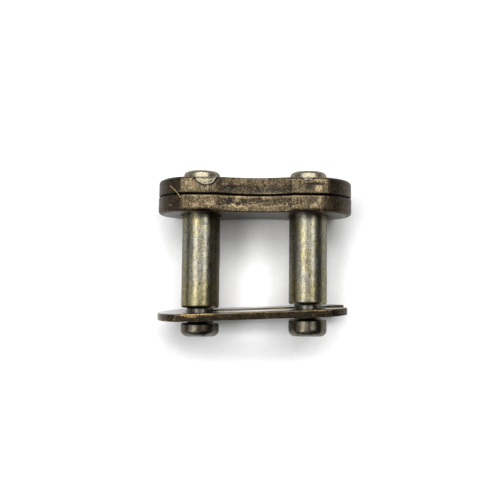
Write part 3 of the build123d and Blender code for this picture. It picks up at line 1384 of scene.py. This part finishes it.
@dataclass
class Clip:
    """The spring clip, lying aslant in the two grooves. Sizes in mm."""

    wear: Wear
    finish: OxidisedSteel
    marks: tuple[Mark, ...] = ()
    plane_y: float = -6.48
    groove_offset: float = 0.55
    lean: float = 4.4
    thickness: float = 0.9
    height: float = 8.75
    end_radius: float = 5.05
    seat_radius: float = 1.65
    slot_width: float = 2.7
    throat_width: float = 2.4
    throat_length: float = 0.6
    mouth_width: float = 4.2
    mouth_flare: float = 1.1
    inner_round: float = 0.25
    tip_round: float = 0.5
    rim_round: float = 0.13
    step: float = 0.07
    face_step: float = 0.12
    corner_ease: float = 0.12
    seed: int = 31

    def axes(self) -> tuple[Array, Array, Array]:
        """The clip plane's two directions and its normal."""
        normal = np.array([self.groove_offset / PITCH, -1, -math.tan(math.radians(self.lean))])
        normal /= np.linalg.norm(normal)
        along = np.array([1, self.groove_offset / PITCH, 0])
        along -= normal * (along @ normal)
        along /= np.linalg.norm(along)
        return along, np.cross(normal, along), normal

    def outline(self) -> Outline:
        """The clip's one closed outline, counterclockwise from its upper tip."""
        seat = math.hypot(PITCH, self.groove_offset) / 2
        half = self.height / 2
        slot, throat, mouth = self.slot_width / 2, self.throat_width / 2, self.mouth_width / 2
        radius, inner = self.end_radius, self.seat_radius
        start = seat + math.sqrt(inner**2 - throat**2)
        throat_end = start + self.throat_length
        mouth_start = throat_end + self.mouth_flare
        corner = math.asin(half / radius)
        tip = math.asin(mouth / radius)
        reach = radius * math.cos(corner)
        tip_x = seat + radius * math.cos(tip)
        slot_turn = math.asin(slot / inner)
        throat_turn = math.asin(throat / inner)
        slot_x = math.sqrt(inner**2 - slot**2)
        ease, tip_ease, inner_ease = self.corner_ease, self.tip_round, self.inner_round
        drawn = Outline()
        drawn.arc((seat, 0), radius, tip, corner, ease)
        drawn.line((seat + reach, half), (-seat - reach, half), ease)
        drawn.arc((-seat, 0), radius, math.pi - corner, math.pi + corner, ease)
        drawn.line((-seat - reach, -half), (seat + reach, -half), ease)
        drawn.arc((seat, 0), radius, -corner, -tip, tip_ease)
        drawn.line((tip_x, -mouth), (mouth_start, -mouth), ease)
        drawn.line((mouth_start, -mouth), (throat_end, -throat), inner_ease)
        drawn.line((throat_end, -throat), (start, -throat), inner_ease)
        drawn.arc((seat, 0), inner, -throat_turn, -math.pi + slot_turn, inner_ease)
        drawn.line((seat - slot_x, -slot), (-seat + slot_x, -slot), inner_ease)
        drawn.arc((-seat, 0), inner, -slot_turn, -2 * math.pi + slot_turn, inner_ease)
        drawn.line((-seat + slot_x, slot), (seat - slot_x, slot), inner_ease)
        drawn.arc((seat, 0), inner, math.pi - slot_turn, throat_turn, inner_ease)
        drawn.line((start, throat), (throat_end, throat), inner_ease)
        drawn.line((throat_end, throat), (mouth_start, mouth), ease)
        drawn.line((mouth_start, mouth), (tip_x, mouth), tip_ease)
        return drawn

    def build(self, weathering: Tree) -> Object:
        """Builds and dresses the clip.

        Args:
            weathering: The weathering tree.

        Returns:
            The finished piece.
        """
        along, up, normal = self.axes()
        origin = np.array([0, self.plane_y, AXIS_HEIGHT])

        def to_space(flat: Array, depth: Array) -> Array:
            """From the clip's plane, depth counted towards the pins' free ends."""
            return origin + flat[:, :1] * along + flat[:, 1:] * up + depth[:, None] * normal

        rim = wall_rows(self.rim_round, self.rim_round, self.thickness, self.step)
        blank = Stamped(
            name="spring_clip_blank",
            outline=self.outline(),
            holes=[],
            rim=rim,
            hole_rim=rim,
            step=self.step,
            face_step=self.face_step,
            seed=self.seed,
            to_space=to_space,
        )
        mesh, layers = blank.built()
        place = places_of(mesh)
        x = place[:, 0]
        near, far = ridge(layers["near"], 0.11), ridge(layers["far"], 0.1)
        share = layers["share"] + 0.06 * np.sin(3.1 * x) + 0.04 * np.sin(9.7 * x + 1)
        middle = bump_of(x, -8.4, -6.6)
        bare, grimy_and_shaded = marked(place, self.marks)
        upper = bump_of(place[:, 2], 2.0, 4.0)
        wall = layers["wall"]
        give_attributes(
            mesh,
            wall=wall * bump_of(layers["share"], 0.02, 0.2),
            torn=wall * bump_of(share, 0.16, 0.3) * (0.1 + 0.9 * middle),
            # Rims worn bright and kept to the upper part: partly wear, partly a painted highlight along the
            # upper rims.
            rim=(near + 0.4 * far) * (1 - 0.7 * bump_of(np.abs(x), 8.2, 9.2)) * upper,
            bare=bare * wall,
            grime=grimy_and_shaded * wall,
            calm=0.97 - 0.75 * wall,
        )
        piece = new_piece("spring_clip_dressed", mesh)
        run_tree(piece, weathering, self.wear.inputs(self.finish.made()))
        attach(piece, Body.LINK.value)
        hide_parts("spring_clip")
        return piece


# --- Studio --------------------------------------------------------------------


@dataclass(frozen=True)
class Softbox:
    """A rectangular studio light aimed at the link."""

    name: str
    azimuth: float
    tilt: float
    width: float
    length: float
    power: float
    distance: float = 0.6

    def build(self) -> Object:
        """Links the light.

        Returns:
            The light. Its azimuth is counted from +X and its tilt from the vertical, both in degrees.
            Its width lies level and its length points at the vertical. Sizes are in metres.
        """
        azimuth, tilt = math.radians(self.azimuth), math.radians(self.tilt)
        level = math.sin(tilt)
        towards = Vector((level * math.cos(azimuth), level * math.sin(azimuth), math.cos(tilt)))
        data = bpy.data.lights.new(self.name, "AREA")
        data.shape = "RECTANGLE"
        data.size, data.size_y = self.width, self.length
        data.energy = self.power
        lamp = new_piece(self.name, data)
        lamp.location = towards * self.distance
        lamp.rotation_mode = "QUATERNION"
        lamp.rotation_quaternion = towards.to_track_quat("Z", "Y")
        return lamp


@dataclass(frozen=True)
class Camera:
    """The camera over the link. Places and sensor in mm, focal length in pixels, limits in metres."""

    place: Place = (2.24, -7.012, 104.379)
    target: Place = (-0.517, 0.5, 4.7)
    roll: float = 0.636
    focal: float = 842.2
    frame: float = 500.0
    sensor: float = 36.0
    nearest: float = 0.001
    farthest: float = 20.0

    def build(self) -> Object:
        """Links the camera and makes it the scene's."""
        data = bpy.data.cameras.new("camera")
        data.sensor_width = self.sensor
        data.lens = self.focal / self.frame * data.sensor_width
        data.clip_start, data.clip_end = self.nearest, self.farthest
        ahead = (Vector(self.target) - Vector(self.place)).normalized()
        right = ahead.cross(Vector((0, 1, 0))).normalized()
        up = right.cross(ahead)
        c, s = math.cos(math.radians(self.roll)), math.sin(math.radians(self.roll))
        right, up = right * c + up * s, up * c - right * s
        camera = new_piece("camera", data)
        turned = Matrix((right, up, -ahead)).transposed().to_4x4()
        camera.matrix_world = Matrix.Translation(Vector(self.place) * MM) @ turned
        bpy.context.scene.camera = camera
        return camera


@dataclass(frozen=True)
class Surround:
    """A pale bowl round the floor, which closes low views and lights nothing. Sizes in metres."""

    profile: tuple[Point, ...] = ((0.16, 0.0002), (0.9, 0.0002), (1.15, 0.06), (1.3, 0.3), (1.32, 1.6))
    turns: int = 96
    level: float = 1.0

    def build(self) -> Object:
        """Links the bowl, for the camera alone."""
        angles = np.linspace(0, 2 * math.pi, self.turns, endpoint=False)
        rings = [[(r * math.cos(a), r * math.sin(a), z) for a in angles] for r, z in self.profile]
        faces = []
        for ring in range(len(rings) - 1):
            for i in range(self.turns):
                a, b = ring * self.turns + i, ring * self.turns + (i + 1) % self.turns
                faces.append((a, b, b + self.turns, a + self.turns))
        mesh = bpy.data.meshes.new("surround")
        mesh.from_pydata(sum(rings, []), [], faces)
        material, pen = new_material("pale surround")
        glow = pen.node("Emission", {"Color": (1.0, 1.0, 1.0), "Strength": self.level})
        pen.node("ShaderNodeOutputMaterial", {0: glow.outputs[0]})
        mesh.materials.append(material)
        bowl = new_piece("surround", mesh)
        for ray in ("diffuse", "glossy", "transmission", "shadow"):
            setattr(bowl, "visible_" + ray, False)
        return bowl


@dataclass(frozen=True)
class Studio:
    """Floor, lights and camera."""

    floor_size: float = 3.0
    world_level: float = 0.01

    def build(self) -> None:
        """Links the studio."""
        half = self.floor_size / 2
        mesh = bpy.data.meshes.new("floor")
        corners = [(-half, -half, 0), (half, -half, 0), (half, half, 0), (-half, half, 0)]
        mesh.from_pydata(corners, [], [(0, 1, 2, 3)])
        mesh.materials.append(PAPER.made())
        floor = new_piece("floor", mesh)
        Surround().build()
        for box in (
            Softbox("back softbox", azimuth=88, tilt=33, width=0.5, length=0.16, power=2.0),
            Softbox("high back softbox", azimuth=90, tilt=20, width=0.3, length=0.1, power=0.6),
            Softbox("right softbox", azimuth=18, tilt=29, width=0.22, length=0.16, power=0.82),
            Softbox("left softbox", azimuth=168, tilt=28, width=0.26, length=0.2, power=1.27),
            Softbox("left front softbox", azimuth=210, tilt=42, width=0.2, length=0.2, power=0.73),
            Softbox("right back softbox", azimuth=45, tilt=38, width=0.2, length=0.2, power=0.68),
            Softbox("left back softbox", azimuth=135, tilt=38, width=0.2, length=0.2, power=0.45),
            Softbox("low left softbox", azimuth=190, tilt=60, width=0.25, length=0.2, power=0.34),
            Softbox("front softbox", azimuth=270, tilt=30, width=0.25, length=0.15, power=0.2),
            Softbox("top softbox", azimuth=0, tilt=0, width=0.2, length=0.2, power=0.19),
        ):
            box.build()
        world = bpy.data.worlds.new("studio")
        world.use_nodes = True
        grey = (self.world_level,) * 3
        world.node_tree.nodes["Background"].inputs[0].default_value = (*grey, 1)
        bpy.context.scene.world = world
        Camera().build()
        bpy.context.scene.view_settings.view_transform = "Standard"


# --- The link ------------------------------------------------------------------

PIN_PLATE_MARKS = (
    Mark(x=-5.42, y=8.0, half_x=0.12, half_y=0.45, level=0.75, turn=8),
    Mark(x=-5.3, y=7.2, half_x=0.11, half_y=0.4, level=0.6, turn=-4),
    Mark(x=-6.1, y=8.15, half_x=0.5, half_y=0.14, level=0.4, turn=25),
    Mark(x=-3.9, y=8.0, half_x=0.35, half_y=0.5, level=-0.6),
    # Painted shadow: the dark line under the right lip.
    Mark(x=6.9, y=7.72, half_x=1.3, half_y=0.13, level=-1.0, turn=-2),
    Mark(x=6.3, y=7.4, half_x=0.5, half_y=0.32, level=-0.7),
    Mark(x=7.4, y=7.25, half_x=0.42, half_y=0.35, level=0.8),
    Mark(x=8.9, y=7.9, half_x=0.25, half_y=0.5, level=-0.5, turn=10),
    Mark(x=7.3, y=8.2, half_x=0.6, half_y=0.16, level=0.35),
    Mark(x=1.2, y=6.72, half_x=2.3, half_y=0.06, level=0.5),
    Mark(x=-2.6, y=7.25, half_x=1.1, half_y=0.45, level=-0.45),
    Mark(x=1.4, y=7.1, half_x=2.0, half_y=0.28, level=-0.4),
    Mark(x=-7.2, y=7.5, half_x=0.9, half_y=0.5, level=0.4),
)
PIN_PLATE_LIPS = (
    Lip(x=-5.5, half_width=1.2, reach=0.95, drop=0.8),
    Lip(x=6.15, half_width=0.6, reach=0.42, drop=0.4),
)
COVER_PLATE_MARKS = (
    Mark(x=-2.22, y=5.26, half_x=0.42, half_y=0.08, level=1.0, turn=-37),
    Mark(x=-1.66, y=5.2, half_x=0.32, half_y=0.08, level=0.9, turn=40),
    Mark(x=-1.9, y=6.08, half_x=0.34, half_y=0.36, level=0.75),
    # Painted shade: the hollow above the V.
    Mark(x=-1.84, y=5.58, half_x=0.35, half_y=0.12, level=-0.95),
    Mark(x=-2.8, y=5.7, half_x=0.42, half_y=0.25, level=-0.75),
    Mark(x=-1.2, y=5.72, half_x=0.4, half_y=0.22, level=-0.7),
    Mark(x=-4.9, y=5.45, half_x=0.55, half_y=0.28, level=0.5),
    Mark(x=-6.6, y=5.2, half_x=0.5, half_y=0.35, level=0.35),
    Mark(x=7.4, y=5.85, half_x=0.16, half_y=0.5, level=0.75, turn=-12),
    Mark(x=6.8, y=5.3, half_x=0.5, half_y=0.3, level=0.45, turn=20),
    Mark(x=4.95, y=5.9, half_x=0.08, half_y=0.5, level=-0.8, turn=5),
    Mark(x=-9.6, y=5.33, half_x=0.11, half_y=0.11, level=1.3),
    # Painted shade: dark arcs on the outward rim above each pin.
    Mark(x=-5.75, y=4.62, half_x=0.95, half_y=0.22, level=-0.9),
    Mark(x=6.2, y=4.6, half_x=0.95, half_y=0.15, level=-0.8),
)
FIBRE_POINTS = (
    (-9.68, 7.56, 8.62), (-9.62, 7.48, 8.70), (-9.2, 7.1, 8.97), (-8.9, 6.8, 9.13), (-8.66, 6.5, 9.23),
    (-8.55, 6.33, 9.27), (-8.45, 6.2, 9.31), (-8.36, 6.08, 9.33),
)
CLIP_MARKS = (
    Mark(x=-7.25, y=-7.3, half_x=1.0, half_y=0.27, level=0.9, turn=-3),
    Mark(x=-5.4, y=-7.2, half_x=0.9, half_y=0.12, level=0.6, turn=-3),
    Mark(x=-10.2, y=-7.3, half_x=1.0, half_y=0.5, level=-0.3),
)
LEFT_PIN_SOIL_AND_SHADE = (
    # Painted shade: the left pin's right flank, darkened along most of its length.
    SoilAndShade(turn=67, station=-6.5, half_turn=20, half_length=9.5, level=0.8),
    SoilAndShade(turn=14, station=-15.5, half_turn=21, half_length=0.95, level=0.85),
    SoilAndShade(turn=-44, station=-15.4, half_turn=10, half_length=0.8, level=0.5),
)
RIGHT_PIN_SOILS = (
    SoilAndShade(turn=-36, station=-15.2, half_turn=10, half_length=1.0, level=0.75),
    SoilAndShade(turn=3, station=-15.1, half_turn=5, half_length=0.9, level=0.6),
    SoilAndShade(turn=35, station=-15.2, half_turn=9, half_length=1.0, level=0.7),
)


def build_link() -> None:
    """Builds every piece of the connecting link."""
    weathering, turning = weathering_tree(), turning_tree()
    steel = dict(
        dark=(0.012, 0.010, 0.010),
        skin=(0.024, 0.017, 0.010),
        rubbed=(0.110, 0.082, 0.046),
        bright=(0.33, 0.25, 0.14),
        torn=(0.016, 0.013, 0.010),
        bare=(0.42, 0.32, 0.19),
        lip=(0.38, 0.35, 0.26),
        polish=0.25,
        edge=0.8,
    )
    plate_wear = dict(hollow_size=1.6, hollow_depth=0.03, grain_size=0.3, grain_depth=0.012, pit_size=0.22)
    pieces = [
        Plate(
            node="pin_plate", body=Body.LINK, near_y=8.575, flat=3.8, outward=1,
            hole_radius=2.25, hole_lead=0.25,
            wear=Wear(**plate_wear, pit_depth=0.03, pit_cover=0.42, seed=11.0),
            finish=OxidisedSteel("pin plate steel", seed=11.0, **steel),
            corners=(-8.25, 8.3), dull=0.22, torn_from=0.47, torn_to=0.93, rubbed_rim=0.1,
            marks=PIN_PLATE_MARKS, lips=PIN_PLATE_LIPS,
            fibres=(Fibre(FIBRE_POINTS, radius=0.026, finish=STRAW),),
        ).build(weathering),
        Plate(
            node="cover_plate", body=Body.COVER, near_y=4.555, flat=3.96, outward=-1,
            hole_radius=2.3, hole_lead=0.2,
            wear=Wear(**plate_wear, pit_depth=0.035, pit_cover=0.43, seed=23.0),
            finish=OxidisedSteel("cover plate steel", seed=23.0, **steel),
            corners=(-8.15, 7.72), dull=0.0, torn_from=0.38, torn_to=0.76, rubbed_rim=0.75,
            marks=COVER_PLATE_MARKS,
        ).build(weathering),
    ]
    pin_steel = dict(
        base=(0.200, 0.191, 0.155),
        film=(0.214, 0.188, 0.106),
        stain=(0.10, 0.065, 0.022),
        speck=(0.012, 0.011, 0.009),
        neck=(0.058, 0.059, 0.060),
        soil=(0.020, 0.014, 0.008),
        head=(0.26, 0.235, 0.17),
        cap=(0.118, 0.106, 0.078),
        rim=(0.21, 0.20, 0.175),
    )
    pin_wear = dict(
        hollow_size=1.2, hollow_depth=0.012, grain_size=0.25, grain_depth=0.006,
        pit_size=0.2, pit_depth=0.02, pit_cover=0.33,
    )
    for side, groove, reach, seed, soil_and_shade_patches, oiled in (
        (Side.LEFT, 13.05, 16.4, 41.0, LEFT_PIN_SOIL_AND_SHADE, 1.6),
        (Side.RIGHT, 12.5, 16.25, 57.0, RIGHT_PIN_SOILS, 1.0),
    ):
        pieces.append(
            Pin(
                side=side, groove_reach=groove, reach=reach, soil_and_shade_patches=soil_and_shade_patches, oiled=oiled,
                wear=Wear(**pin_wear, seed=seed),
                finish=TurnedSteel(f"{side.name.lower()} pin steel", seed=seed, **pin_steel),
            ).build(turning, weathering)
        )
    lacquered = dict(
        dark=(0.007, 0.006, 0.006),
        skin=(0.022, 0.016, 0.009),
        rubbed=(0.072, 0.050, 0.025),
        bright=(0.25, 0.18, 0.085),
        torn=(0.015, 0.011, 0.007),
        bare=(0.38, 0.26, 0.125),
        lip=(0.3, 0.3, 0.3),
        polish=0.11,
        edge=1.0,
    )
    pieces.append(
        Clip(
            wear=Wear(
                hollow_size=1.4, hollow_depth=0.02, grain_size=0.25, grain_depth=0.01,
                pit_size=0.2, pit_depth=0.03, pit_cover=0.42, seed=71.0,
            ),
            finish=OxidisedSteel("clip steel", seed=71.0, **lacquered),
            marks=CLIP_MARKS,
        ).build(weathering)
    )
    for piece in pieces:
        log.info("%s: %d faces", piece.name, len(piece.data.polygons))


def main() -> None:
    """Builds the link and its studio."""
    logging.basicConfig(level=logging.INFO, format="%(name)s: %(message)s")
    build_link()
    Studio().build()


if __name__ == "__main__":
    main()
